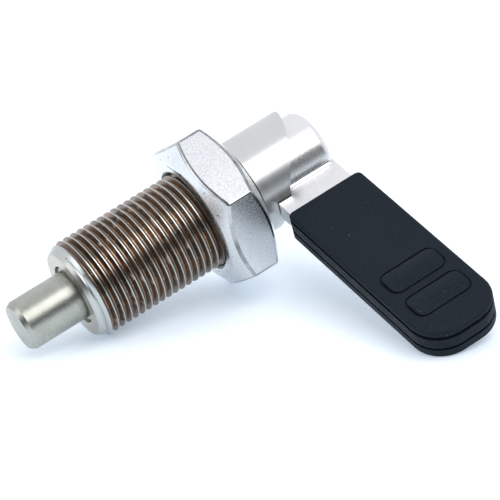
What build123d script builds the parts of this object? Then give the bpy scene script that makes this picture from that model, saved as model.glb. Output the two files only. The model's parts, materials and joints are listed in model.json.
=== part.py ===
from build123d import *
from math import atan, cos, degrees, pi, radians, sin, tan
import os

# Cam-lever indexing plunger, M20 x 1.5, with a 10 mm nose and a 12 mm stroke. All sizes in mm.
#
# Each piece is modelled along its own axis first: X runs back along the plunger from the front face of
# the guide sleeve, the lever points towards -Y, and Z is square to the flat of the lever. At the end the
# whole part is laid down as it comes to rest on a level surface, with Z up.

# --- Driving dimensions ---------------------------------------------------------------------------

# guide sleeve, turned from one bar
thread_d = 19.7            # over the crests of the thread, nominal M20
thread_pitch = 1.5
thread_root_d = 18.1
thread_crest = 0.2         # flat on a crest
thread_root = 0.3          # flat at the bottom of a groove
front_face_d = 17.2
front_chamfer_len = 2.2
thread_len = 38.4          # from the front face to the plain rear end
relief_d = 18.0            # groove where the thread runs out
relief_len = 1.8
rear_d = 19.4              # plain bar behind the thread
chamber_end = 34.5         # bottom of the spring chamber
blank_spare = 1.0          # bar left behind the highest point before the cam is cut
bore_chamfer = 0.35

# cam between the sleeve's rear end and the lever's head
stroke = 12.0              # how far half a turn of the lever draws the nose in
cam_top = 51.9             # highest point of the cam face
cam_rise = 10.6            # from the lowest to the highest point, along the plane cut
cam_low_angle = 133.0      # lowest point of the cam, from +Z towards the lever
cam_gap = 0.25             # axial play between the two cam faces
cam_side_gap = 0.35        # radial play between the sleeve and the root of the lever arm

# plunger pin
nose_d = 10.0
nose_reach = 12.0          # beyond the sleeve's front face, when locked
nose_chamfer_len = 0.95
nose_chamfer_r = 0.55
guide_d = 12.0             # shoulder that runs in the sleeve's bore
guide_start = 0.4
guide_len = 10.0
guide_chamfer = 0.4
stem_d = 7.0
guide_fit = 0.05           # radial running clearance of the shoulder
stem_fit = 0.08            # radial clearance of the stem in the sleeve's rear web

# return spring
spring_wire_d = 1.2
spring_coil_d = 9.6        # mean diameter
spring_turns = 7.0
spring_seat_gap = 0.05

# lever head and arm, one casting
head_d = 15.7
head_end = 55.4
head_round = 1.5
head_fit = 0.02            # radial clearance of the stem in the head
stem_end_wall = 3.0        # closed wall of the head behind the stem
stem_end_gap = 0.2
arm_front = 40.7
arm_back = 55.0
arm_thick = 3.8
arm_len = 57.2             # from the plunger axis to the end of the arm
arm_corner_r = 5.0
root_r = 0.9               # fillet between the head and the arm

# cross pin between head and stem, driven in from the low side of the cam
cross_pin_d = 3.0
cross_pin_x = 45.6
cross_pin_angle = 165.0    # from +Z towards the lever
cross_pin_fit = 0.01
cross_pin_inset = 0.3      # below the surface of the head

# grip cap
cap_front = 39.7
cap_back = 56.4
cap_near = 14.2            # from the plunger axis to the mouth
cap_far = 59.6
cap_thick = 6.3
cap_far_r = 6.5
cap_near_r = 1.2
cap_edge_r = 0.7
cap_fit = 0.05
seam_w = 0.6               # groove round the narrow sides
seam_depth = 0.4
seam_z = -0.9              # middle of the groove against the middle of the arm
rib_w = 5.4
rib_rise = 0.5
rib_corner_r = 1.4
rib_margin = 2.6           # from the long sides of the cap to the ends of a rib
rib_first = 42.6           # from the plunger axis to the middle of the first rib
rib_pitch = 7.7
rib_count = 2

# lock nut
nut_flats = 29.0
nut_thick = 10.2
nut_front = 27.2
nut_bevel_d = 24.8         # circle where the bevel meets a face
nut_bevel_angle = 30.0
nut_corner_angle = 48.0    # one corner, from +Z towards the lever
nut_fit = 0.05             # radial clearance on the crests of the thread
nut_mouth_d = 20.9

# --- Sizes that follow ----------------------------------------------------------------------------

cam_half = cam_rise / 2
cam_mid = cam_top - cam_half
cam_bottom = cam_top - cam_rise
thread_end = thread_len - relief_len
thread_mouth = thread_pitch - thread_crest
groove_count = int((thread_end - front_chamfer_len - thread_crest) / thread_pitch) - 1
bore_d = guide_d + 2 * guide_fit
web_hole_d = stem_d + 2 * stem_fit
head_bore_d = stem_d + 2 * head_fit
head_bore_end = head_end - stem_end_wall
guide_end = guide_start + guide_len
stem_end = head_bore_end - stem_end_gap
nut_corner_r = nut_flats / 2 / cos(pi / 6)
nut_bevel_len = (nut_corner_r - nut_bevel_d / 2) * tan(radians(nut_bevel_angle))
nut_bore_d = thread_d + 2 * nut_fit
cap_mid = (cap_front + cap_back) / 2
cap_width = cap_back - cap_front
cap_len = cap_far - cap_near
clear_r = thread_d         # a radius outside every turned piece


# --- Helpers --------------------------------------------------------------------------------------

def turned(points):
    """A solid turned about the plunger axis, from (x, radius) points."""
    return revolve(make_face(Polyline(*points, close=True)), Axis.X)


def bar(diameter, start, end):
    """A round bar along the plunger axis."""
    return extrude(Plane.YZ.offset(start) * Circle(diameter / 2), end - start)


def around_axis(angle):
    """A turn about the plunger axis that takes +Z towards the lever."""
    return Rotation(angle, 0, 0)


def flat_plate(x_front, x_back, y_near, y_far, thick, far_r, near_r=0.0):
    """A plate square to Z that runs out towards -Y, with rounded corners at its two ends."""
    plate = Box(x_back - x_front, y_far - y_near, thick)
    far_edges = plate.edges().filter_by(Axis.Z).group_by(Axis.Y)[0]
    plate = fillet(far_edges, far_r)
    if near_r > 0:
        near_edges = plate.edges().filter_by(Axis.Z).group_by(Axis.Y)[-1]
        plate = fillet(near_edges, near_r)
    return Pos((x_front + x_back) / 2, -(y_near + y_far) / 2, 0) * plate


def in_front_of_cam(play):
    """All that lies in front of the cam face, moved back by the play.

    The side that the lever climbs is a screw surface, which rises by the stroke in half a turn. The
    other side is one plane cut across the bar. A short level seat joins the two at the bottom.
    """
    low = cam_top - stroke + play
    far = cam_top + clear_r
    core_r = stem_d / 4
    inner = Helix(pitch=2 * stroke, height=stroke, radius=core_r)
    outer = Helix(pitch=2 * stroke, height=stroke, radius=clear_r)
    ramp = Face.make_surface_from_curves(inner, outer)
    ramp = Pos(low, 0, 0) * Rotation(0, 90, 0) * Rotation(0, 0, 180) * ramp
    climbing_side = extrude(ramp, amount=far, dir=(-1, 0, 0))
    tilt = degrees(atan(cam_half / (rear_d / 2)))
    below_plane = Box(2 * far, 4 * clear_r, 4 * clear_r, align=(Align.MAX, Align.CENTER, Align.CENTER))
    below_plane = Pos(cam_mid + play, 0, 0) * Rotation(0, -tilt, 0) * below_plane
    other_half = Box(4 * far, clear_r, 2 * clear_r, align=(Align.CENTER, Align.MIN, Align.CENTER))
    seat = bar(2 * clear_r, 0, cam_bottom + play)
    return around_axis(cam_low_angle) * (climbing_side + (below_plane & other_half)) + seat


def cross_pin_bar(diameter, bottom, top):
    """A round bar along the line of the cross pin, between two distances from the plunger axis."""
    upright = extrude(Plane.XY.offset(bottom) * Circle(diameter / 2), top - bottom)
    return around_axis(cross_pin_angle) * Pos(cross_pin_x, 0, 0) * upright


# --- Pieces ---------------------------------------------------------------------------------------

def thread_outline():
    """Outline of the thread from the front chamfer back, with one ring-shaped groove for each turn."""
    outline = [(front_chamfer_len, thread_d / 2)]
    for turn in range(groove_count):
        mouth = front_chamfer_len + thread_crest + turn * thread_pitch
        middle = mouth + thread_mouth / 2
        outline += [
            (mouth, thread_d / 2),
            (middle - thread_root / 2, thread_root_d / 2),
            (middle + thread_root / 2, thread_root_d / 2),
            (mouth + thread_mouth, thread_d / 2),
        ]
    return outline


def make_guide_sleeve():
    """Threaded sleeve with the pin's bore in front and half of the cam behind."""
    blank = turned([
        (0, bore_d / 2 + bore_chamfer),
        (0, front_face_d / 2),
        *thread_outline(),
        (thread_end, thread_d / 2),
        (thread_end, relief_d / 2),
        (thread_len, relief_d / 2),
        (thread_len, rear_d / 2),
        (cam_top + blank_spare, rear_d / 2),
        (cam_top + blank_spare, web_hole_d / 2),
        (chamber_end, web_hole_d / 2),
        (chamber_end, bore_d / 2),
        (bore_chamfer, bore_d / 2),
    ])
    return blank & in_front_of_cam(0)


def make_lock_nut():
    """Thin hexagon nut, bevelled on both faces."""
    nut_back = nut_front + nut_thick
    hexagon = Plane.YZ.offset(nut_front) * RegularPolygon(nut_corner_r, 6, rotation=90)
    prism = around_axis(nut_corner_angle) * extrude(hexagon, nut_thick)
    lens = turned([
        (nut_front, 0),
        (nut_front, nut_bevel_d / 2),
        (nut_front + nut_thick / 2, nut_bevel_d / 2 + nut_thick / 2 / tan(radians(nut_bevel_angle))),
        (nut_back, nut_bevel_d / 2),
        (nut_back, 0),
    ])
    mouth = (nut_mouth_d - nut_bore_d) / 2
    bore = turned([
        (nut_front, 0),
        (nut_front, nut_mouth_d / 2),
        (nut_front + mouth, nut_bore_d / 2),
        (nut_back - mouth, nut_bore_d / 2),
        (nut_back, nut_mouth_d / 2),
        (nut_back, 0),
    ])
    return (prism & lens) - bore


def make_plunger_pin():
    """Nose, running shoulder and stem, turned from one bar."""
    pin = turned([
        (-nose_reach, 0),
        (-nose_reach, nose_d / 2 - nose_chamfer_r),
        (-nose_reach + nose_chamfer_len, nose_d / 2),
        (guide_start, nose_d / 2),
        (guide_start, guide_d / 2 - guide_chamfer),
        (guide_start + guide_chamfer, guide_d / 2),
        (guide_end - guide_chamfer, guide_d / 2),
        (guide_end, guide_d / 2 - guide_chamfer),
        (guide_end, stem_d / 2),
        (stem_end, stem_d / 2),
        (stem_end, 0),
    ])
    hole_d = cross_pin_d + 2 * cross_pin_fit
    return pin - cross_pin_bar(hole_d, -stem_d / 4, stem_d)


def make_return_spring():
    """Compression spring with ground ends, between the pin's shoulder and the sleeve's rear web."""
    start = guide_end + spring_seat_gap
    end = chamber_end - spring_seat_gap
    pitch = (end - start) / spring_turns
    path = Helix(pitch=pitch, height=end - start, radius=spring_coil_d / 2)
    section = (path ^ 0) * Circle(spring_wire_d / 2)
    coil = Pos(start, 0, 0) * Rotation(0, 90, 0) * sweep(section, path=path)
    return coil & bar(2 * clear_r, start, end)


def make_cross_pin():
    """Dowel that joins the head to the stem, so that pin and lever turn and slide as one."""
    return cross_pin_bar(cross_pin_d, -stem_d / 4 + cross_pin_inset, head_d / 2 - cross_pin_inset)


def make_cam_lever():
    """Round head with the other half of the cam, and the flat arm, cast in one."""
    head = bar(head_d, cam_bottom, head_end)
    head = fillet(head.edges().filter_by(GeomType.CIRCLE).sort_by(Axis.X)[-1], head_round)
    arm = flat_plate(arm_front, arm_back, 0, arm_len, arm_thick, arm_corner_r)
    section = Circle(head_d / 2) + Pos(0, head_d / 2, 0) * Rectangle(arm_thick, head_d)
    corners = [v for v in section.vertices() if abs(v.Y - head_d / 2) < head_d / 4]
    section = fillet(corners, root_r)
    root_end = head_end - head_round
    root = extrude(Plane((arm_front, 0, 0), x_dir=(0, 0, 1), z_dir=(1, 0, 0)) * section, root_end - arm_front)
    lever = head + arm + root
    lever -= in_front_of_cam(cam_gap) & bar(rear_d + 2 * cam_side_gap, 0, head_end)
    lever -= bar(head_bore_d, 0, head_bore_end)
    hole_d = cross_pin_d + 2 * cross_pin_fit
    return lever - cross_pin_bar(hole_d, 0, head_d)


def make_grip_cap():
    """Moulded cap pushed over the arm, with a seam round its sides and ribs for the thumb."""
    body = flat_plate(cap_front, cap_back, cap_near, cap_far, cap_thick, cap_far_r, cap_near_r)
    rims = body.faces().filter_by(Axis.Z)
    body = fillet(rims.edges(), cap_edge_r)
    seam = flat_plate(cap_front - 1, cap_back + 1, cap_near, cap_far + 1, seam_w, cap_far_r)
    seam -= flat_plate(
        cap_front + seam_depth, cap_back - seam_depth, cap_near - 1, cap_far - seam_depth,
        2 * seam_w, cap_far_r - seam_depth
    )
    body -= Pos(0, 0, seam_z) * seam
    rib = Box(cap_width - 2 * rib_margin, rib_w, cap_thick + 2 * rib_rise)
    rib = fillet(rib.edges().filter_by(Axis.Z), rib_corner_r)
    rib = fillet(rib.faces().filter_by(Axis.Z).edges(), rib_rise * 0.8)
    for number in range(rib_count):
        body += Pos(cap_mid, -(rib_first + number * rib_pitch), 0) * rib
    pocket = flat_plate(
        arm_front - cap_fit, arm_back + cap_fit, cap_near - 1, arm_len + cap_fit,
        arm_thick + 2 * cap_fit, arm_corner_r + cap_fit
    )
    return body - pocket


# --- Laid at rest ---------------------------------------------------------------------------------

def resting_down():
    """The direction of gravity when the part lies on the thread's front end, a corner of the lock nut
    and the far corner of the grip."""
    corner_turn = radians(nut_corner_angle + 120)
    nut_corner = Vector(
        nut_front + nut_bevel_len, -nut_corner_r * sin(corner_turn), nut_corner_r * cos(corner_turn)
    )
    cap_corner = Vector(cap_front + cap_far_r, -(cap_far - cap_far_r), -(cap_thick / 2 - cap_edge_r))
    down = Vector(-0.2, -0.2, -1).normalized()
    for _ in range(12):
        outward = Vector(0, down.Y, down.Z).normalized()
        sideways = Vector(down.X, down.Y, 0).normalized()
        thread_edge = Vector(front_chamfer_len, 0, 0) + outward * (thread_d / 2)
        grip_edge = cap_corner + sideways * (cap_far_r - cap_edge_r) + down * cap_edge_r
        down = (nut_corner - thread_edge).cross(grip_edge - thread_edge).normalized()
    return down


def laid(pieces):
    """The pieces on a level surface at Z = 0, centred on Z, with the plunger's back towards +X."""
    up = resting_down() * -1
    floor = Plane(origin=(0, 0, 0), x_dir=Vector(1, 0, 0) - up * up.X, z_dir=up)
    turn = floor.location.inverse()
    turned_pieces = {name: turn * piece for name, piece in pieces.items()}
    boxes = [piece.bounding_box() for piece in turned_pieces.values()]
    middle_x = (min(box.min.X for box in boxes) + max(box.max.X for box in boxes)) / 2
    middle_y = (min(box.min.Y for box in boxes) + max(box.max.Y for box in boxes)) / 2
    lowest = min(box.min.Z for box in boxes)
    shift = Pos(-middle_x, -middle_y, -lowest)
    return {name: shift * piece for name, piece in turned_pieces.items()}, shift * turn


pieces, lay = laid({
    "guide_sleeve": make_guide_sleeve(),
    "lock_nut": make_lock_nut(),
    "plunger_pin": make_plunger_pin(),
    "return_spring": make_return_spring(),
    "cross_pin": make_cross_pin(),
    "cam_lever": make_cam_lever(),
    "grip_cap": make_grip_cap(),
})

os.makedirs("parts", exist_ok=True)
for name, piece in pieces.items():
    export_step(piece, f"parts/{name}.step")
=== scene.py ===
# %% [markdown]
# # A cam-lever indexing plunger
# This lesson dresses a small workholding part: a threaded sleeve with a lock nut, a round pin in front,
# a cam behind, and a flat lever in a moulded grip. The solids come from a CAD model with its own frame.
# Blender adds what the solids leave out, such as the thread, and then the finishes and the light.

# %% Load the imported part
import json
import math

import bpy
from mathutils import Matrix, Vector

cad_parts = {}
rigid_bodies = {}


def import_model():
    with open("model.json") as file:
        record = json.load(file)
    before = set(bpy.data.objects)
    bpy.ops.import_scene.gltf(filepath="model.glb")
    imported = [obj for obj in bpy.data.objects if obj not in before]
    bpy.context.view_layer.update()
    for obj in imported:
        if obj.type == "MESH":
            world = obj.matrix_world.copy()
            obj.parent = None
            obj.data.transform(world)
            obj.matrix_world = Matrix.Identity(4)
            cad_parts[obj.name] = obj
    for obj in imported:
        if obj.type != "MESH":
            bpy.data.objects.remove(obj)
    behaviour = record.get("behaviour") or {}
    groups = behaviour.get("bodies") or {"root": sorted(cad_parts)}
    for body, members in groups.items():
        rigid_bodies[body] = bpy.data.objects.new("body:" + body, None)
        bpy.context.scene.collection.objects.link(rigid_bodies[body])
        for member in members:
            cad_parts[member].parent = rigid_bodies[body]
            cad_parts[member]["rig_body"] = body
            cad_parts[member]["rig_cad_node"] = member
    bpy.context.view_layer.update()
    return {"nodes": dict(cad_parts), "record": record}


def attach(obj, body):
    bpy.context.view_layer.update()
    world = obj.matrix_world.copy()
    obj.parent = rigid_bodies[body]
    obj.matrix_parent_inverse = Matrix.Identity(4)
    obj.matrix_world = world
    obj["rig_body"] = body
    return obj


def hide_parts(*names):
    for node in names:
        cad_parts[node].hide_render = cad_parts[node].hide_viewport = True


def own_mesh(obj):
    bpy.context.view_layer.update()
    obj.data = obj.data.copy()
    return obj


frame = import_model()
nodes = frame["nodes"]
print("pieces:", sorted(nodes))

# %% [markdown]
# The part lies tipped on a level surface, so its long axis isn't along any world axis. It is easier to
# model along the world X axis and to lay each finished piece down afterwards. The record of the part
# holds the axis and two places on it, and one matrix made from them does the laying down.

# %% Work out the plunger's own axes
MM = 0.001
TINY = 1e-6
mounts = {mount["name"]: mount for mount in frame["record"]["mounts"]}
axis_back = -Vector(mounts["plunger_tip"]["axis"]).normalized()
half_nose = mounts["plunger_tip"]["dims"]["length_mm"] * MM / 2
front_centre = Vector(mounts["plunger_tip"]["pos_m"]) + axis_back * half_nose
to_nut_face = Vector(mounts["nut_face"]["pos_m"]) - front_centre
axis_top = (to_nut_face - axis_back * to_nut_face.dot(axis_back)).normalized()
axis_side = axis_top.cross(axis_back)
part_turn = Matrix((axis_back, axis_side, axis_top)).transposed().to_4x4()
laid_down = Matrix.Translation(front_centre) @ part_turn
nut_front = to_nut_face.dot(axis_back)
rise = math.degrees(math.asin(axis_back.z))
print("axis rises", round(rise, 2), "degrees, nut face at", round(nut_front, 5))


# %% [markdown]
# Blender's operators act on everything that is selected. These helpers clear the selection first and
# leave one object active, so that each later step works on its own piece only. An edit-mode operator
# works on selected edges or faces, and those are chosen by where their points lie.

# %% Helpers for one piece at a time
def only(piece):
    """Make this the one selected and active object."""
    bpy.ops.object.select_all(action="DESELECT")
    piece.select_set(True)
    bpy.context.view_layer.objects.active = piece


def bake_place(piece):
    """Write the object's place, turn and scale into its mesh."""
    only(piece)
    bpy.ops.object.transform_apply(location=True, rotation=True, scale=True)


def select_parts(piece, wanted, mode="EDGE"):
    """In edit mode, select only the edges or faces whose points pass the test."""
    only(piece)
    bpy.ops.object.mode_set(mode="EDIT")
    bpy.ops.mesh.select_mode(type=mode)
    bpy.ops.mesh.select_all(action="DESELECT")
    bpy.ops.object.mode_set(mode="OBJECT")
    parts = piece.data.polygons if mode == "FACE" else piece.data.edges
    for part in parts:
        part.select = wanted([piece.data.vertices[v].co for v in part.vertices])
    bpy.ops.object.mode_set(mode="EDIT")


def apply_modifier(piece, kind, **settings):
    """Add a modifier with these settings and make its result the mesh."""
    only(piece)
    modifier = piece.modifiers.new(kind.title(), kind)
    for key, value in settings.items():
        setattr(modifier, key, value)
    bpy.ops.object.modifier_apply(modifier=modifier.name)


def lay(piece):
    """Put a piece that was modelled along X in its place on the part."""
    piece.matrix_world = laid_down @ piece.matrix_world
    bake_place(piece)


def cut_with(piece, tool, operation="DIFFERENCE"):
    """Cut the piece with a tool and throw the tool away."""
    apply_modifier(piece, "BOOLEAN", operation=operation, object=tool, solver="EXACT")
    bpy.data.objects.remove(tool)


def smooth(piece, angle):
    """Shade smooth, but keep edges that are sharper than the angle."""
    only(piece)
    bpy.ops.object.shade_smooth_by_angle(angle=math.radians(angle))


def round_normals(piece, tolerance=12):
    """Point the normals of turned faces straight out from the plunger's axis, or straight in."""
    to_part = laid_down.inverted()
    to_world = laid_down.to_3x3()
    mesh = piece.data
    radial = []
    for vertex in mesh.vertices:
        local = to_part @ vertex.co
        radial.append((to_world @ Vector((0, local.y, local.z))).normalized())
    normals = [corner.vector.copy() for corner in mesh.corner_normals]
    least = math.cos(math.radians(tolerance))
    for face in mesh.polygons:
        for loop in face.loop_indices:
            outwards = radial[mesh.loops[loop].vertex_index]
            lean = outwards.dot(face.normal)
            if abs(lean) > least:
                normals[loop] = outwards * math.copysign(1, lean)
    mesh.normals_split_custom_set(normals)


def merged_copy(node, name):
    """A copy of a CAD node with its loose triangles joined, to be worked on further."""
    piece = nodes[node].copy()
    piece.data = nodes[node].data.copy()
    piece.name = name
    piece.parent = None
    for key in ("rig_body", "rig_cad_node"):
        if key in piece:
            del piece[key]
    bpy.context.scene.collection.objects.link(piece)
    only(piece)
    bpy.ops.object.mode_set(mode="EDIT")
    bpy.ops.mesh.select_all(action="SELECT")
    bpy.ops.mesh.remove_doubles(threshold=TINY)
    bpy.ops.object.mode_set(mode="OBJECT")
    return piece


# %% [markdown]
# ## The thread
# The sleeve's M20 x 1.5 thread is the finest shape on the part. It could be painted with a bump map,
# but then its outline would stay straight. A real groove is cut here: a small wedge section is swept
# round the axis by a Screw modifier, which moves on by one pitch a turn, and the sleeve is cut with it.
# The wedge reaches a little outside the crests, so that no surfaces of the two coincide.

# %% Sweep a wedge into a thread cutter
PITCH = 1.5 * MM
CREST_R = 9.85 * MM
ROOT_R = 8.98 * MM
CREST_FLAT = 0.2 * MM
ROOT_FLAT = 0.24 * MM
TURNS = 25
STEPS_A_TURN = 72
FIRST_GROOVE = 0.85 * MM
WEDGE_OUTSIDE = 0.4 * MM
PLANE_ORDER = (0, 1, 3, 2)


def thread_cutter():
    """A helical wedge that leaves a thread of about 60 degrees and runs on past both its ends."""
    bpy.ops.object.select_all(action="DESELECT")
    bpy.ops.mesh.primitive_plane_add(size=1, location=(0, 0, 0))
    cutter = bpy.context.object
    half_mouth = (PITCH - CREST_FLAT) / 2
    corners = (
        (-ROOT_FLAT / 2, ROOT_R),
        (ROOT_FLAT / 2, ROOT_R),
        (half_mouth, CREST_R),
        (-half_mouth, CREST_R),
    )
    for corner, (along, radius) in zip(PLANE_ORDER, corners):
        cutter.data.vertices[corner].co = (FIRST_GROOVE + along, 0, radius)

    def at_crest(points):
        return all(abs(point.z - CREST_R) < TINY for point in points)

    select_parts(cutter, at_crest)
    bpy.ops.mesh.extrude_region_move(TRANSFORM_OT_translate={"value": (0, 0, WEDGE_OUTSIDE)})
    bpy.ops.mesh.select_all(action="SELECT")
    bpy.ops.mesh.delete(type="ONLY_FACE")
    bpy.ops.object.mode_set(mode="OBJECT")
    select_parts(cutter, at_crest)
    bpy.ops.mesh.delete(type="EDGE")
    bpy.ops.object.mode_set(mode="OBJECT")
    apply_modifier(cutter, "SCREW", axis="X", angle=math.tau, screw_offset=PITCH, iterations=TURNS,
                   steps=STEPS_A_TURN, render_steps=STEPS_A_TURN, use_merge_vertices=False,
                   use_normal_calculate=True)
    only(cutter)
    bpy.ops.object.mode_set(mode="EDIT")
    bpy.ops.mesh.select_mode(type="VERT")
    bpy.ops.mesh.select_all(action="DESELECT")
    bpy.ops.mesh.select_non_manifold()
    bpy.ops.mesh.edge_face_add()
    bpy.ops.mesh.select_all(action="SELECT")
    bpy.ops.mesh.normals_make_consistent(inside=False)
    bpy.ops.object.mode_set(mode="OBJECT")
    return cutter


print("a groove", round((CREST_R - ROOT_R) / MM, 2), "mm deep,", TURNS, "turns")

# %% [markdown]
# The front of the sleeve starts as a plain cylinder. Its end face is extruded and drawn in, which makes
# the chamfer that finds the hole. Two round tools bore it out, and then the thread is cut. The rear,
# with the cam, has its exact shape in the CAD model, so that half is a copy, sawn off in the groove
# behind the thread and joined on.

# %% Turn, bore and thread the front of the sleeve
THREAD_END = 36.6 * MM
CHAMFER_LEN = 2.2 * MM
FRONT_FACE_R = 8.6 * MM
BORE_R = 6.05 * MM
CHAMBER_END = 34.5 * MM
WEB_HOLE_R = 3.58 * MM
SAW_PLACE = THREAD_END + 0.01 * MM
ALONG_X = (0, math.radians(90), 0)
KEEP_SHARP_SLEEVE = 25


def round_bar(name, radius, start, end, sides=144):
    """A closed cylinder along X between two places."""
    bpy.ops.object.select_all(action="DESELECT")
    bpy.ops.mesh.primitive_cylinder_add(vertices=sides, radius=radius, depth=end - start,
                                        location=((start + end) / 2, 0, 0), rotation=ALONG_X)
    piece = bpy.context.object
    piece.name = name
    bake_place(piece)
    return piece


def select_ring(piece, x, mode="FACE"):
    """In edit mode, select only what lies wholly at this x."""
    select_parts(piece, lambda points: all(abs(point.x - x) < TINY for point in points), mode)


def draw_out(piece, x, length, ratio):
    """Extrude the end face at x along the axis and scale it about the axis."""
    select_ring(piece, x)
    bpy.ops.mesh.extrude_region_move(TRANSFORM_OT_translate={"value": (length, 0, 0)})
    bpy.ops.transform.resize(value=(1, ratio, ratio), center_override=(x + length, 0, 0))
    bpy.ops.object.mode_set(mode="OBJECT")


def make_sleeve_front():
    """The threaded half: a chamfered bar, bored in two steps and cut by the thread."""
    front = round_bar("sleeve_front", CREST_R, CHAMFER_LEN, THREAD_END)
    draw_out(front, CHAMFER_LEN, -CHAMFER_LEN, FRONT_FACE_R / CREST_R)
    cut_with(front, round_bar("bore", BORE_R, -MM, CHAMBER_END))
    cut_with(front, round_bar("web_hole", WEB_HOLE_R, CHAMBER_END - MM, THREAD_END + MM, 96))
    cut_with(front, thread_cutter())
    return front


def make_sleeve_rear():
    """The plain half with the cam, from the CAD model, turned back along X to be sawn off square."""
    rear = merged_copy("guide_sleeve", "sleeve_rear")
    rear.matrix_world = laid_down.inverted()
    bake_place(rear)
    bpy.ops.object.mode_set(mode="EDIT")
    bpy.ops.mesh.select_all(action="SELECT")
    bpy.ops.mesh.bisect(plane_co=(SAW_PLACE, 0, 0), plane_no=(1, 0, 0), clear_inner=True, use_fill=True)
    bpy.ops.object.mode_set(mode="OBJECT")
    return rear


sleeve = make_sleeve_front()
rear = make_sleeve_rear()
print("front", len(sleeve.data.polygons), "faces, rear", len(rear.data.polygons), "faces")

# %% [markdown]
# The two halves become one piece. The copied half has long thin triangles, and normals averaged over
# them would streak its shading. Its round faces were turned on a lathe, so the right normal is known:
# it points straight away from the axis, or straight towards it in a bore.

# %% Join the sleeve and lay it down
only(sleeve)
rear.select_set(True)
bpy.ops.object.join()
sleeve.name = "threaded_sleeve"
smooth(sleeve, KEEP_SHARP_SLEEVE)
lay(sleeve)
round_normals(sleeve)
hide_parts("guide_sleeve")
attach(sleeve, "guide")
print("sleeve", len(sleeve.data.polygons), "faces")

# %% [markdown]
# ## The lock nut
# A hexagon nut is bar stock whose corners are turned away on both faces. The turned shape is a disc that
# swells to a ridge half way along, and the hexagon is what is left where bar and disc overlap. That
# gives the curved edges that every nut has. The edges round the outside are then broken by a small bevel
# with a material slot of its own, which colours them darker than the faces beside them as painted shade.

# %% Make the lock nut
NUT_FLATS = 29.0 * MM
NUT_THICK = 10.2 * MM
NUT_BEVEL_R = 12.4 * MM
NUT_BEVEL_ANGLE = math.radians(30)
NUT_MOUTH_R = 10.45 * MM
NUT_BORE_R = 9.9 * MM
NUT_CORNER = math.radians(48)
NUT_EDGE = 0.45 * MM
NUT_EDGE_SHARP = math.radians(22)
NUT_FACE_SLOT = 0
NUT_EDGE_SLOT = 1
NUT_EDGE_MIN_R = 13.2 * MM
NUT_BACK = nut_front + NUT_THICK
NUT_MIDDLE = nut_front + NUT_THICK / 2
LENS_SIDES = 192
KEEP_SHARP = 40


def make_lens():
    """A disc with a sharp ridge round its middle, from a cylinder with one more ring of points."""
    lens = round_bar("lens", NUT_BEVEL_R, nut_front, NUT_BACK, LENS_SIDES)
    ridge_r = NUT_BEVEL_R + NUT_THICK / 2 / math.tan(NUT_BEVEL_ANGLE)
    swell = ridge_r / NUT_BEVEL_R
    select_parts(lens, lambda ends: abs(ends[0].x - ends[1].x) > MM)
    bpy.ops.mesh.subdivide(number_cuts=1)
    bpy.ops.object.mode_set(mode="OBJECT")
    select_ring(lens, NUT_MIDDLE, "EDGE")
    bpy.ops.transform.resize(value=(1, swell, swell), center_override=(NUT_MIDDLE, 0, 0))
    bpy.ops.object.mode_set(mode="OBJECT")
    return lens


def make_nut_bore():
    """A round tool that flares at both ends."""
    mouth = NUT_MOUTH_R - NUT_BORE_R
    flare = (NUT_MOUTH_R + mouth) / NUT_BORE_R
    tool = round_bar("nut_bore", NUT_BORE_R, nut_front + mouth, NUT_BACK - mouth)
    draw_out(tool, nut_front + mouth, -2 * mouth, flare)
    draw_out(tool, NUT_BACK - mouth, 2 * mouth, flare)
    return tool


def make_nut():
    """A hexagon bar with one corner at NUT_CORNER, turned, bored, and its outer edges broken."""
    nut = round_bar("hexagon_nut", NUT_FLATS / 2 / math.cos(math.pi / 6), nut_front, NUT_BACK, 6)
    first = nut.data.vertices[0].co
    nut.rotation_euler = (NUT_CORNER - math.atan2(-first.y, first.z), 0, 0)
    bake_place(nut)
    cut_with(nut, make_lens(), "INTERSECT")
    cut_with(nut, make_nut_bore())
    nut.data.materials.clear()
    nut.data.materials.append(None)
    nut.data.materials.append(None)
    apply_modifier(nut, "BEVEL", width=NUT_EDGE, segments=4, limit_method="ANGLE",
                   angle_limit=NUT_EDGE_SHARP, material=NUT_EDGE_SLOT, use_clamp_overlap=False)
    for face in nut.data.polygons:
        if face.center.yz.length < NUT_EDGE_MIN_R:
            face.material_index = NUT_FACE_SLOT
    smooth(nut, KEEP_SHARP)
    apply_modifier(nut, "WEIGHTED_NORMAL", keep_sharp=True)
    return nut


nut = make_nut()
lay(nut)
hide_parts("lock_nut")
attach(nut, "nut")
print("nut", len(nut.data.polygons), "faces")


# %% [markdown]
# ## The grip
# The grip is moulded in two halves, and two grooves run round its sides: a step under the top and the
# parting line below it. The thumb pushes on two low ribs with rounded backs, and the other face has two
# more. The body is a box whose corner edges are bevelled round, and then its rims. Every groove is cut
# with a ring, which is a larger block with a smaller one taken out, and a rib is what a long round bar
# and a rounded block have in common.

# %% Helpers for rounded blocks and rings
GRIP_FRONT = 39.7 * MM
GRIP_BACK = 56.4 * MM
GRIP_NEAR = 14.2 * MM
GRIP_FAR = 59.6 * MM
GRIP_TOP = 3.15 * MM
FAR_CORNER = 6.5 * MM
NEAR_CORNER = 1.2 * MM
CORNER_SEGMENTS = 14


def round_corners(piece, end_y, radius):
    """Bevel the upright edges at one end of a block to this radius."""
    def upright_there(ends):
        first, second = ends
        return (first - second).xy.length < TINY and abs(first.y - end_y) < TINY

    select_parts(piece, upright_there)
    bpy.ops.mesh.bevel(offset=radius, segments=CORNER_SEGMENTS, affect="EDGES")
    bpy.ops.object.mode_set(mode="OBJECT")


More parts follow.
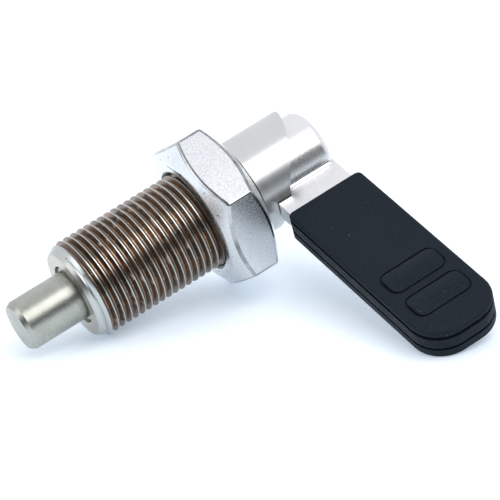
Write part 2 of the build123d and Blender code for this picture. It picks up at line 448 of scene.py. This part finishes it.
def rounded_block(name, x_span, y_span, z_span, near_radius, far_radius):
    """A block with upright edges rounded, from the two ends of its span on each axis."""
    spans = (x_span, y_span, z_span)
    bpy.ops.object.select_all(action="DESELECT")
    bpy.ops.mesh.primitive_cube_add(size=1, location=[sum(span) / 2 for span in spans])
    block = bpy.context.object
    block.name = name
    block.scale = [span[1] - span[0] for span in spans]
    bake_place(block)
    round_corners(block, y_span[1], near_radius)
    round_corners(block, y_span[0], far_radius)
    return block


def ring_cutter(x_span, y_span, z_span, near_radius, far_radius, width):
    """A block with a smaller one taken out, which cuts a groove this wide outside the given outline."""
    wide_x = (x_span[0] - width, x_span[1] + width)
    wide_y = (y_span[0] - width, y_span[1] + width)
    outer = rounded_block("ring", wide_x, wide_y, z_span, near_radius + width, far_radius + width)
    through = (z_span[0] - MM, z_span[1] + MM)
    cut_with(outer, rounded_block("ring_hole", x_span, y_span, through, near_radius, far_radius))
    return outer


print("grip", round((GRIP_FAR - GRIP_NEAR) / MM, 1), "x", round((GRIP_BACK - GRIP_FRONT) / MM, 1), "mm")

# %% Make the grip
PARTING_LINE = (-1.2 * MM, -0.65 * MM, 0.4 * MM)
STEP_UNDER_TOP = (1.45 * MM, 2.3 * MM, 0.5 * MM)
RIB_WIDE = 5.4 * MM
RIB_RISE = 0.5 * MM
RIB_ENDS = 2.6 * MM
RIB_CORNER = 1.6 * MM
RIB_PLACES = (42.6 * MM, 50.3 * MM)
RIB_GROOVE = 0.4 * MM
RIB_GROOVE_DEEP = 0.3 * MM
GRIP_EDGE = 0.2 * MM
GRIP_RIM = 0.7 * MM
RIB_BACK_SIDES = 240


def rib_outline(middle):
    """The spans in x and y of the rib at this distance from the axis."""
    span_x = (GRIP_FRONT + RIB_ENDS, GRIP_BACK - RIB_ENDS)
    span_y = (-middle - RIB_WIDE / 2, -middle + RIB_WIDE / 2)
    return span_x, span_y


def make_rib(middle, side):
    """A low rib with a rounded back, across the top (side 1) or the bottom (side -1) of the grip."""
    back_radius = ((RIB_WIDE / 2) ** 2 + RIB_RISE ** 2) / (2 * RIB_RISE)
    span_z = sorted((side * MM, side * (GRIP_TOP + MM)))
    rib = rounded_block("rib", *rib_outline(middle), span_z, RIB_CORNER, RIB_CORNER)
    back = round_bar("rib_back", back_radius, GRIP_FRONT, GRIP_BACK, RIB_BACK_SIDES)
    back.location = (0, -middle, side * (GRIP_TOP + RIB_RISE - back_radius))
    bake_place(back)
    cut_with(rib, back, "INTERSECT")
    return rib


def round_rims(piece):
    """Round the edges of the top and bottom faces of the plain body: those that lie level."""
    select_parts(piece, lambda ends: abs(ends[0].z - ends[1].z) < TINY)
    bpy.ops.mesh.bevel(offset=GRIP_RIM, segments=4, affect="EDGES")
    bpy.ops.object.mode_set(mode="OBJECT")


def make_grip():
    """The rounded body, with its two grooves cut in and the four ribs put on."""
    grip = rounded_block("moulded_grip", (GRIP_FRONT, GRIP_BACK), (-GRIP_FAR, -GRIP_NEAR),
                         (-GRIP_TOP, GRIP_TOP), NEAR_CORNER, FAR_CORNER)
    round_rims(grip)
    for bottom, top, deep in (PARTING_LINE, STEP_UNDER_TOP):
        smaller_x = (GRIP_FRONT + deep, GRIP_BACK - deep)
        smaller_y = (-GRIP_FAR + deep, -GRIP_NEAR - deep)
        cut_with(grip, ring_cutter(smaller_x, smaller_y, (bottom, top), NEAR_CORNER - deep,
                                   FAR_CORNER - deep, MM))
    for middle in RIB_PLACES:
        for side in (1, -1):
            groove_z = sorted((side * (GRIP_TOP - RIB_GROOVE_DEEP), side * (GRIP_TOP + MM)))
            cut_with(grip, ring_cutter(*rib_outline(middle), groove_z, RIB_CORNER, RIB_CORNER,
                                       RIB_GROOVE))
            cut_with(grip, make_rib(middle, side), "UNION")
    apply_modifier(grip, "BEVEL", width=GRIP_EDGE, segments=3, limit_method="ANGLE",
                   angle_limit=math.radians(KEEP_SHARP))
    smooth(grip, KEEP_SHARP)
    apply_modifier(grip, "WEIGHTED_NORMAL", keep_sharp=True)
    return grip


grip = make_grip()
lay(grip)
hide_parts("grip_cap")
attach(grip, "lever")
print("grip", len(grip.data.polygons), "faces")

# %% [markdown]
# ## The return spring
# The spring sits inside the sleeve, between the pin's shoulder and the web. When the lever draws the pin
# back, the spring doesn't travel with it: its rear end stays on the web and its turns close up. So a
# copy of the coil rides on the sleeve.

# %% Copy the spring onto the sleeve
SPRING_LENGTH = 24.0 * MM
STROKE = 12.0 * MM

spring = merged_copy("return_spring", "coil_spring")
smooth(spring, KEEP_SHARP)
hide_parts("return_spring")
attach(spring, "guide")
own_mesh(spring)
shortest = round((SPRING_LENGTH - STROKE) / MM, 1)
print("spring", len(spring.data.polygons), "faces, closes to", shortest, "mm")

# %% [markdown]
# ## Finishes
# All the metal is stainless steel, but each piece was finished in its own way. The nut is bright from
# its bar and almost polished. The pin is blasted to a fine matte. The sleeve and the lever head are
# satin with faint rings from the lathe. These marks are shared between materials, so each kind is one
# node group that gives masks and heights, and every material sets its own strength.

# %% Helpers for node trees
def new_group(name, inputs, outputs):
    """A shader group with (name, kind, default) inputs and (name, kind) outputs."""
    tree = bpy.data.node_groups.new(name, "ShaderNodeTree")
    for label, kind, value in inputs:
        socket = tree.interface.new_socket(label, in_out="INPUT", socket_type=f"NodeSocket{kind}")
        if value is not None:
            socket.default_value = value
    for label, kind in outputs:
        tree.interface.new_socket(label, in_out="OUTPUT", socket_type=f"NodeSocket{kind}")
    return tree, tree.nodes.new("NodeGroupInput"), tree.nodes.new("NodeGroupOutput")


def outputs_of(group):
    """The output sockets of a group, in order."""
    return [item for item in group.interface.items_tree if item.in_out == "OUTPUT"]


def add(tree, kind, **settings):
    """Add a node, with its settings and, in the key sockets, its fixed inputs."""
    node = tree.nodes.new(f"ShaderNode{kind}")
    for key, value in settings.items():
        if key == "sockets":
            for socket, number in value.items():
                node.inputs[socket].default_value = number
        else:
            setattr(node, key, value)
    return node


def part_coordinates(tree):
    """Object coordinates turned so that X runs along the plunger."""
    coordinates = add(tree, "TexCoord")
    turned = add(tree, "Mapping", vector_type="POINT")
    back = laid_down.inverted()
    turned.inputs["Location"].default_value = back.to_translation()
    turned.inputs["Rotation"].default_value = back.to_euler()
    tree.links.new(coordinates.outputs["Object"], turned.inputs["Vector"])
    return turned.outputs["Vector"]


slant = [round(math.degrees(angle), 1) for angle in laid_down.inverted().to_euler()]
print("marks follow the part, turned by", slant, "degrees")

# %% [markdown]
# Turning marks are fine rings round the axis. Noise that is stretched over a hundredfold along the rings
# looks more natural than even stripes. Grain is plain noise in two sizes, and its coarse size makes soft
# patches. Specks are noise that is cut off high, so that only its peaks are left.

# %% Group for rings from the lathe
def make_turning_marks():
    """Rings round the axis: noise that is fine along it and coarse across it."""
    tree, start, end = new_group(
        "turning_marks",
        [("Coordinates", "Vector", None), ("Rings", "Float", 5000.0), ("Wobble", "Float", 40.0)],
        [("Mask", "Float"), ("Height", "Float")],
    )
    split = add(tree, "SeparateXYZ")
    joined = add(tree, "CombineXYZ")
    noise = add(tree, "TexNoise", sockets={"Scale": 1.0, "Detail": 3.0, "Roughness": 0.6})
    contrast = add(tree, "MapRange", sockets={"From Min": 0.3, "From Max": 0.7})
    links = tree.links
    links.new(start.outputs["Coordinates"], split.inputs[0])
    for axis, size in (("X", "Rings"), ("Y", "Wobble"), ("Z", "Wobble")):
        scaled = add(tree, "Math", operation="MULTIPLY")
        links.new(split.outputs[axis], scaled.inputs[0])
        links.new(start.outputs[size], scaled.inputs[1])
        links.new(scaled.outputs[0], joined.inputs[axis])
    links.new(joined.outputs[0], noise.inputs["Vector"])
    links.new(noise.outputs[0], contrast.inputs["Value"])
    links.new(contrast.outputs[0], end.inputs["Mask"])
    links.new(noise.outputs[0], end.inputs["Height"])
    return tree


turning_marks = make_turning_marks()
print("group", turning_marks.name, "gives", [socket.name for socket in outputs_of(turning_marks)])


# %% Group for fine grain
def make_grain():
    """Fine noise for a mask and a height, and coarse noise for a mask of soft patches."""
    tree, start, end = new_group(
        "grain",
        [("Coordinates", "Vector", None), ("Size", "Float", 4000.0), ("Patches", "Float", 300.0)],
        [("Mask", "Float"), ("Patch mask", "Float"), ("Height", "Float")],
    )
    fine = add(tree, "TexNoise", sockets={"Detail": 4.0, "Roughness": 0.65})
    wide = add(tree, "TexNoise", sockets={"Detail": 3.0, "Roughness": 0.5})
    sharp = add(tree, "MapRange", sockets={"From Min": 0.35, "From Max": 0.65})
    soft = add(tree, "MapRange", sockets={"From Min": 0.3, "From Max": 0.7})
    links = tree.links
    for noise, size in ((fine, "Size"), (wide, "Patches")):
        links.new(start.outputs["Coordinates"], noise.inputs["Vector"])
        links.new(start.outputs[size], noise.inputs["Scale"])
    links.new(fine.outputs[0], sharp.inputs["Value"])
    links.new(wide.outputs[0], soft.inputs["Value"])
    links.new(sharp.outputs[0], end.inputs["Mask"])
    links.new(soft.outputs[0], end.inputs["Patch mask"])
    links.new(fine.outputs[0], end.inputs["Height"])
    return tree


grain = make_grain()
print("group", grain.name, "gives", [socket.name for socket in outputs_of(grain)])


# %% Group for places along and off the axis
def make_from_axis():
    """How far along the axis a point is, and how far from it."""
    tree, start, end = new_group(
        "from_axis",
        [("Coordinates", "Vector", None)],
        [("Along", "Float"), ("Radius", "Float")],
    )
    split = add(tree, "SeparateXYZ")
    flat = add(tree, "VectorMath", operation="MULTIPLY")
    flat.inputs[1].default_value = (0, 1, 1)
    radius = add(tree, "VectorMath", operation="LENGTH")
    links = tree.links
    links.new(start.outputs["Coordinates"], split.inputs[0])
    links.new(start.outputs["Coordinates"], flat.inputs[0])
    links.new(flat.outputs["Vector"], radius.inputs[0])
    links.new(split.outputs["X"], end.inputs["Along"])
    links.new(radius.outputs["Value"], end.inputs["Radius"])
    return tree


from_axis = make_from_axis()
print("group", from_axis.name, "gives", [socket.name for socket in outputs_of(from_axis)])


# %% Group for small specks and pits
SPECK_EDGE = 0.05


def make_specks():
    """Rare small spots, where noise rises above the rarity."""
    tree, start, end = new_group(
        "specks",
        [("Coordinates", "Vector", None), ("Size", "Float", 900.0), ("Rarity", "Float", 0.7)],
        [("Mask", "Float")],
    )
    noise = add(tree, "TexNoise", sockets={"Detail": 2.0, "Roughness": 0.5})
    top = add(tree, "Math", operation="ADD", sockets={1: SPECK_EDGE})
    peaks = add(tree, "MapRange")
    links = tree.links
    links.new(start.outputs["Coordinates"], noise.inputs["Vector"])
    links.new(start.outputs["Size"], noise.inputs["Scale"])
    links.new(start.outputs["Rarity"], top.inputs[0])
    links.new(noise.outputs[0], peaks.inputs["Value"])
    links.new(start.outputs["Rarity"], peaks.inputs["From Min"])
    links.new(top.outputs[0], peaks.inputs["From Max"])
    links.new(peaks.outputs[0], end.inputs["Mask"])
    return tree


specks = make_specks()
print("group", specks.name, "gives", [socket.name for socket in outputs_of(specks)])


# %% Helpers that put the groups in a material
MIX_COLORS = (6, 7)
MIX_RESULT = 2


def new_material(name, **fixed):
    """A material with a Principled BSDF, its fixed inputs, and the part's coordinates."""
    material = bpy.data.materials.new(name)
    material.use_nodes = True
    tree = material.node_tree
    shader = tree.nodes["Principled BSDF"]
    for socket, value in fixed.items():
        shader.inputs[socket.replace("_", " ")].default_value = value
    return material, tree, shader, part_coordinates(tree)


def place(tree, group, where, **values):
    """Put a group in a tree, with its coordinates linked and its other inputs set."""
    node = tree.nodes.new("ShaderNodeGroup")
    node.node_tree = group
    tree.links.new(where, node.inputs["Coordinates"])
    for socket, value in values.items():
        node.inputs[socket].default_value = value
    return node


def blended(tree, mask, first, second):
    """A colour that goes from the first to the second with a mask. Each is a colour or a socket."""
    mix = add(tree, "Mix", data_type="RGBA")
    tree.links.new(mask, mix.inputs["Factor"])
    for index, color in zip(MIX_COLORS, (first, second)):
        if isinstance(color, bpy.types.NodeSocket):
            tree.links.new(color, mix.inputs[index])
        else:
            mix.inputs[index].default_value = (*color, 1)
    return mix.outputs[MIX_RESULT]


def fades(tree, value, none_at, full_at):
    """A mask that goes from 0 to 1 as a value goes from one place to another."""
    node = add(tree, "MapRange", sockets={"From Min": none_at, "From Max": full_at})
    tree.links.new(value, node.inputs["Value"])
    return node.outputs[0]


def both(tree, first, second):
    """A mask where two masks overlap."""
    node = add(tree, "Math", operation="MULTIPLY")
    tree.links.new(first, node.inputs[0])
    tree.links.new(second, node.inputs[1])
    return node.outputs[0]


def ranged(tree, mask, low, high):
    """A number that goes from low to high with a mask."""
    node = add(tree, "MapRange", sockets={"To Min": low, "To Max": high})
    tree.links.new(mask, node.inputs["Value"])
    return node.outputs[0]


def bumped(tree, height, strength, distance, under=None):
    """A Bump node on a height, on top of another one if given."""
    bump = add(tree, "Bump", sockets={"Strength": strength, "Distance": distance})
    tree.links.new(height, bump.inputs["Height"])
    if under is not None:
        tree.links.new(under, bump.inputs["Normal"])
    return bump.outputs["Normal"]


def finished(material, tree, shader, color, rough, normal):
    """Link the three sockets that vary over every surface here."""
    tree.links.new(color, shader.inputs["Base Color"])
    tree.links.new(rough, shader.inputs["Roughness"])
    tree.links.new(normal, shader.inputs["Normal"])
    return material


def dress(piece, material):
    """Give the whole piece one material."""
    piece.data.materials.clear()
    piece.data.materials.append(material)
    print(piece.name, "is finished in", material.name)


# %% [markdown]
# The sleeve's thread collects what the rest of the part sheds, and its grooves lie in shade: they are
# painted duller and browner, partly as dirt and partly as painted shade, with orange painted glints.
# Only the crests are rubbed bright. The distance from the axis tells the two apart.

# %% Sleeve steel
EDGE_FADE = 0.1 * MM
CAM_INSIDE_R = 9.45 * MM
RUBBED_TO_R = CREST_R - 0.01 * MM
DULL_FROM_R = CREST_R - 0.07 * MM
# The dark colour inside the cams is painted shade.
CAM_PAINTED_SHADE = (0.07, 0.075, 0.08)
SATIN, SATIN_DULL = (0.66, 0.67, 0.665), (0.56, 0.57, 0.56)
# The end face and the chamfer have tones of their own, set to how bright each looks in its light:
# painted light and shade.
END_FACE_PAINTED_LIGHT, CHAMFER_PAINTED_LIGHT = (0.54, 0.5, 0.45), (0.52, 0.54, 0.53)
# Groove colours: brown stains mixed with painted shade, darker than the steel of the crests.
GROOVE_GREY, GROOVE_BROWN = (0.10, 0.096, 0.085), (0.31, 0.195, 0.13)
# The second colour on the next line is a painted glint: orange sparkle flecked into the grooves.
GROOVE_PALE, GROOVE_PAINTED_GLINT = (0.28, 0.22, 0.175), (0.8, 0.58, 0.4)


def make_sleeve_steel():
    """Satin steel with turned rings, dirt and painted shade in the grooves, painted shade in the cam."""
    material, tree, shader, where = new_material("sleeve_steel", Metallic=1.0)
    marks = place(tree, turning_marks, where, Rings=9000.0, Wobble=60.0)
    fine = place(tree, grain, where, Size=6000.0, Patches=260.0)
    stains = place(tree, grain, where, Size=1500.0, Patches=420.0)
    # Painted glints: rare bright orange specks in the grooves.
    painted_glints = place(tree, specks, where, Size=2600.0, Rarity=0.66)
    spot = place(tree, from_axis, where)
    along, radius = spot.outputs["Along"], spot.outputs["Radius"]

    # Below the crests the grooves are coloured darker and browner: partly dirt, partly painted shade.
    in_groove = fades(tree, radius, RUBBED_TO_R, DULL_FROM_R)
    behind_chamfer = fades(tree, along, CHAMFER_LEN, CHAMFER_LEN + EDGE_FADE)
    before_end = fades(tree, along, THREAD_END, THREAD_END - EDGE_FADE)
    dirt_and_painted_shade = both(tree, both(tree, behind_chamfer, before_end), in_groove)
    # Painted shade: inside the cam bore, behind the thread, the steel is coloured dark.
    cam_painted_shade = both(tree, fades(tree, along, THREAD_END, THREAD_END + EDGE_FADE),
                  fades(tree, radius, CAM_INSIDE_R, CAM_INSIDE_R - EDGE_FADE))

    satin = blended(tree, ranged(tree, fine.outputs["Patch mask"], 0.0, 0.3), SATIN, SATIN_DULL)
    # Painted light and shade: the end face and the chamfer take their own tones of the same steel.
    front = blended(tree, fades(tree, along, 0.0, EDGE_FADE), END_FACE_PAINTED_LIGHT, CHAMFER_PAINTED_LIGHT)
    outside = blended(tree, fades(tree, along, THREAD_END - EDGE_FADE, THREAD_END), front, satin)
    plain = blended(tree, cam_painted_shade, outside, CAM_PAINTED_SHADE)
    brown = blended(tree, stains.outputs["Patch mask"], GROOVE_GREY, GROOVE_BROWN)
    mottled = blended(tree, ranged(tree, stains.outputs["Mask"], 0.0, 0.5), brown, GROOVE_PALE)
    groove = blended(tree, painted_glints.outputs["Mask"], mottled, GROOVE_PAINTED_GLINT)

    lines = bumped(tree, marks.outputs["Height"], strength=0.06, distance=0.02 * MM)
    return finished(
        material, tree, shader,
        color=blended(tree, dirt_and_painted_shade, plain, groove),
        rough=ranged(tree, marks.outputs["Mask"], 0.27, 0.36),
        normal=bumped(tree, fine.outputs["Height"], 0.1, 0.01 * MM, under=lines),
    )


dress(sleeve, make_sleeve_steel())

# %% [markdown]
# The nut keeps the brightness of drawn bar. Soft wide patches keep it from looking like chrome, and a
# few dark pits are left on its turned faces. The mouth of its bore is coloured dark, as painted shade in
# the gap round the thread. Its broken edges have the same recipe in a darker and patchier mix, as
# painted shade.

# %% Nut steel
# The mouth of the bore is coloured dark between these two radii, as painted shade in the gap round the
# thread.
MOUTH_UNSHADED_R = NUT_MOUTH_R + 0.2 * MM
MOUTH_SHADED_R = NUT_MOUTH_R + 0.05 * MM
TURNED_TO_R = NUT_FLATS / 2
PITTED_FROM_R = NUT_FLATS / 2 - 0.6 * MM
PIT_DARK = (0.1, 0.1, 0.1)
MOUTH_PAINTED_SHADE = (0.035, 0.03, 0.028)
NUT_BRIGHT, NUT_DULL = (0.80, 0.815, 0.84), (0.73, 0.74, 0.755)
# Painted shade: the broken edges of the nut are coloured darker and patchier than its faces.
SHADED_EDGE_PALE, SHADED_EDGE_DARK = (0.62, 0.63, 0.64), (0.13, 0.135, 0.14)


def make_nut_steel(name, color, dull, rough, patchy):
    """Bright bar with soft patches and a few pits, and painted shade round the mouth of the thread."""
    material, tree, shader, where = new_material(name, Metallic=1.0)
    fine = place(tree, grain, where, Size=2500.0, Patches=180.0)
    pits = place(tree, specks, where, Size=900.0, Rarity=0.70)
    radius = place(tree, from_axis, where).outputs["Radius"]
    # Painted shade: a dark ring round the mouth of the bore.
    mouth = fades(tree, radius, MOUTH_UNSHADED_R, MOUTH_SHADED_R)
    turned_face = fades(tree, radius, TURNED_TO_R, PITTED_FROM_R)
    clean = blended(tree, ranged(tree, fine.outputs["Patch mask"], 0.0, patchy), color, dull)
    pitted = blended(tree, both(tree, pits.outputs["Mask"], turned_face), clean, PIT_DARK)
    return finished(
        material, tree, shader,
        color=blended(tree, mouth, pitted, MOUTH_PAINTED_SHADE),
        rough=ranged(tree, fine.outputs["Mask"], rough, rough + 0.08),
        normal=bumped(tree, fine.outputs["Height"], strength=0.03, distance=0.01 * MM),
    )


nut.data.materials[NUT_FACE_SLOT] = make_nut_steel("nut_steel", NUT_BRIGHT, NUT_DULL, 0.22, 0.5)
# The edge slot gets the darker colours, which are painted shade on the broken edges.
nut.data.materials[NUT_EDGE_SLOT] = make_nut_steel("nut_shaded_edge_steel", SHADED_EDGE_PALE, SHADED_EDGE_DARK, 0.16, 1.0)
print(nut.name, "is finished in", [material.name for material in nut.data.materials])

# %% [markdown]
# The other metal pieces share one recipe with different numbers: the size of the grain, how rough it
# makes the steel, how deep the rings and the grit are, and how much of the dull colour shows as specks.
# The lever's head is painted dark inside the cam, as painted shade where little light gets in.

# %% Pin, lever, spring and dowel steel
HEAD_END = 55.4 * MM
HEAD_INSIDE_R = 7.6 * MM


def make_matte_steel(name, color, dull, size, rough, rings=0.0, grit=0.2, speckle=0.2, inside=0.0):
    """Blasted or satin steel, with grain all over. A radius for inside darkens the cam end within it as
    painted shade.
    """
    material, tree, shader, where = new_material(name, Metallic=1.0)
    fine = place(tree, grain, where, Size=size, Patches=220.0)
    marks = place(tree, turning_marks, where, Rings=7000.0, Wobble=50.0)
    spot = place(tree, from_axis, where)
    tint = blended(tree, ranged(tree, fine.outputs["Patch mask"], 0.0, 0.6), color, dull)
    speckled = blended(tree, ranged(tree, fine.outputs["Mask"], speckle, 0.0), tint, dull)
    # Painted shade: within the inside radius at the cam end, the steel is coloured dark.
    cam_painted_shade = both(tree, fades(tree, spot.outputs["Radius"], inside, inside - EDGE_FADE),
                  fades(tree, spot.outputs["Along"], HEAD_END - MM, HEAD_END - 2 * MM))
    lines = bumped(tree, marks.outputs["Height"], strength=rings, distance=0.02 * MM)
    return finished(
        material, tree, shader,
        color=blended(tree, cam_painted_shade, speckled, CAM_PAINTED_SHADE),
        rough=ranged(tree, fine.outputs["Mask"], rough - 0.05, rough + 0.05),
        normal=bumped(tree, fine.outputs["Height"], grit, 0.02 * MM, under=lines),
    )


dress(nodes["plunger_pin"], make_matte_steel(
    "pin_steel", color=(0.52, 0.53, 0.485), dull=(0.30, 0.305, 0.27), size=2400.0,
    rough=0.34, rings=0.05, grit=0.7, speckle=0.5))
dress(nodes["cam_lever"], make_matte_steel(
    "lever_steel", color=(0.84, 0.83, 0.835), dull=(0.75, 0.74, 0.74), size=5000.0,
    rough=0.28, rings=0.04, grit=0.08, speckle=0.1, inside=HEAD_INSIDE_R))
dress(spring, make_matte_steel(
    "spring_steel", color=(0.55, 0.55, 0.56), dull=(0.4, 0.4, 0.41), size=3000.0, rough=0.3))
dress(nodes["cross_pin"], make_matte_steel(
    "dowel_steel", color=(0.6, 0.6, 0.61), dull=(0.5, 0.5, 0.5), size=5000.0, rough=0.25))


# %% [markdown]
# The grip is a dark blue-grey plastic from an eroded mould, which leaves an even matte grain. It is not
# black: the grain scatters light from above and lifts it. A few dust specks sit on it.

# %% Grip plastic
GRAIN_DARK, GRAIN_LIGHT = (0.009, 0.0135, 0.0195), (0.018, 0.026, 0.035)
DUST = (0.08, 0.09, 0.10)


def make_grip_plastic():
    """Dark matte plastic with an even grain and a little dust."""
    material, tree, shader, where = new_material(
        "grip_plastic", Metallic=0.0, IOR=1.5, Specular_IOR_Level=0.07)
    fine = place(tree, grain, where, Size=3200.0, Patches=150.0)
    dust = place(tree, specks, where, Size=1500.0, Rarity=0.74)
    grained = blended(tree, fine.outputs["Mask"], GRAIN_DARK, GRAIN_LIGHT)
    return finished(
        material, tree, shader,
        color=blended(tree, dust.outputs["Mask"], grained, DUST),
        rough=ranged(tree, fine.outputs["Patch mask"], 0.45, 0.58),
        normal=bumped(tree, fine.outputs["Height"], strength=0.45, distance=0.03 * MM),
    )


dress(grip, make_grip_plastic())


# %% [markdown]
# ## Table and light
# Polished metal shows what stands round it, so the room matters as much as the lamps. The part lies on
# white paper in a bright room that is open and dark towards the front. The bright walls make the metal
# pale, and the dark opening gives the turned pieces their dark bands. The paper looks white, but far in
# front it mirrors as grey, as if it ended there.

# %% Floor
PAPER_SIZE = 6
PAPER_WHITE = (0.9, 0.93, 0.97)
PAPER_GLOW = (0.8, 0.97, 1.15, 1)
DARK_FRONT, WHITE_FRONT = -0.26, -0.10
MIRRORED_GREY, MIRRORED_WHITE = (0.16, 0.18, 0.18), (0.86, 0.88, 0.9)

bpy.ops.object.select_all(action="DESELECT")
bpy.ops.mesh.primitive_plane_add(size=PAPER_SIZE, location=(0, 0, 0))
floor = bpy.context.object
floor.name = "floor"


def make_white_paper():
    """White to look at. In reflections it turns grey towards the dark front of the studio."""
    material = bpy.data.materials.new("white_paper")
    material.use_nodes = True
    tree = material.node_tree
    shader = tree.nodes["Principled BSDF"]
    shader.inputs["Roughness"].default_value = 0.9
    shader.inputs["Emission Color"].default_value = PAPER_GLOW
    shader.inputs["Emission Strength"].default_value = 0.32
    coordinates = add(tree, "TexCoord")
    split = add(tree, "SeparateXYZ")
    path = add(tree, "LightPath")
    tree.links.new(coordinates.outputs["Object"], split.inputs[0])
    front = fades(tree, split.outputs["Y"], DARK_FRONT, WHITE_FRONT)
    mirrored = blended(tree, front, MIRRORED_GREY, MIRRORED_WHITE)
    color = blended(tree, path.outputs["Is Camera Ray"], mirrored, PAPER_WHITE)
    tree.links.new(color, shader.inputs["Base Color"])
    return material


floor.data.materials.append(make_white_paper())
print("paper", PAPER_SIZE, "m wide, grey in reflections beyond y =", DARK_FRONT)


# %% Lights
LIT_POINT = Vector((0, 0, 0.01))


def softbox(name, place_at, size, radiance):
    """A square area light that faces the part. Its power follows from its size and its radiance."""
    data = bpy.data.lights.new(name, "AREA")
    data.shape = "SQUARE"
    data.size = size
    data.energy = radiance * math.pi * size * size
    light = bpy.data.objects.new(name, data)
    bpy.context.scene.collection.objects.link(light)
    light.location = place_at
    light.rotation_euler = (LIT_POINT - Vector(place_at)).to_track_quat("-Z", "Y").to_euler()
    print(name, round(data.energy, 2), "W from", round((LIT_POINT - Vector(place_at)).length, 2), "m")


softbox("light_above", (0.09, -0.45, 0.67), size=0.6, radiance=3.0)
softbox("light_left", (-0.75, 0.1, 0.35), size=0.45, radiance=1.6)

# %% Surroundings
BRIGHT_SKY = (0.98, 1.0, 1.04)
DARK_SKY = (0.045, 0.05, 0.055)
OPEN_FRONT = Vector((-0.38, -0.85, 0.36)).normalized()
OPENING_EDGES = (0.25, 0.85)


def make_studio():
    """A bright room all round, with an open dark front."""
    world = bpy.data.worlds.new("studio")
    world.use_nodes = True
    tree = world.node_tree
    coordinates = add(tree, "TexCoord")
    towards = add(tree, "VectorMath", operation="DOT_PRODUCT")
    towards.inputs[1].default_value = OPEN_FRONT
    fade = add(tree, "MapRange", interpolation_type="SMOOTHSTEP",
               sockets={"From Min": OPENING_EDGES[0], "From Max": OPENING_EDGES[1]})
    tree.links.new(coordinates.outputs["Generated"], towards.inputs[0])
    tree.links.new(towards.outputs["Value"], fade.inputs["Value"])
    color = blended(tree, fade.outputs[0], BRIGHT_SKY, DARK_SKY)
    tree.links.new(color, tree.nodes["Background"].inputs["Color"])
    return world


scene = bpy.context.scene
scene.world = make_studio()
scene.view_settings.view_transform = "Standard"
scene.view_settings.look = "None"
widths = [round(math.degrees(math.acos(edge))) for edge in OPENING_EDGES]
print("dark opening: starts", widths[0], "and is full", widths[1], "degrees from its middle")

# %% [markdown]
# ## Camera
# The camera looks down at the part from the pin's side with a long lens, slightly rolled.

# %% Camera
camera_data = bpy.data.cameras.new("camera")
camera_data.lens = 200.6
camera_data.sensor_width = 36.0
camera_data.clip_start = 0.01
camera = bpy.data.objects.new("camera", camera_data)
scene.collection.objects.link(camera)
camera.location = (-0.19433, -0.42087, 0.21595)
camera.rotation_euler = (math.radians(66.536), math.radians(7.598), math.radians(-28.515))
scene.camera = camera
print("camera", round(camera.location.length, 3), "m away, lens", round(camera_data.lens), "mm")

bpy.context.view_layer.update()
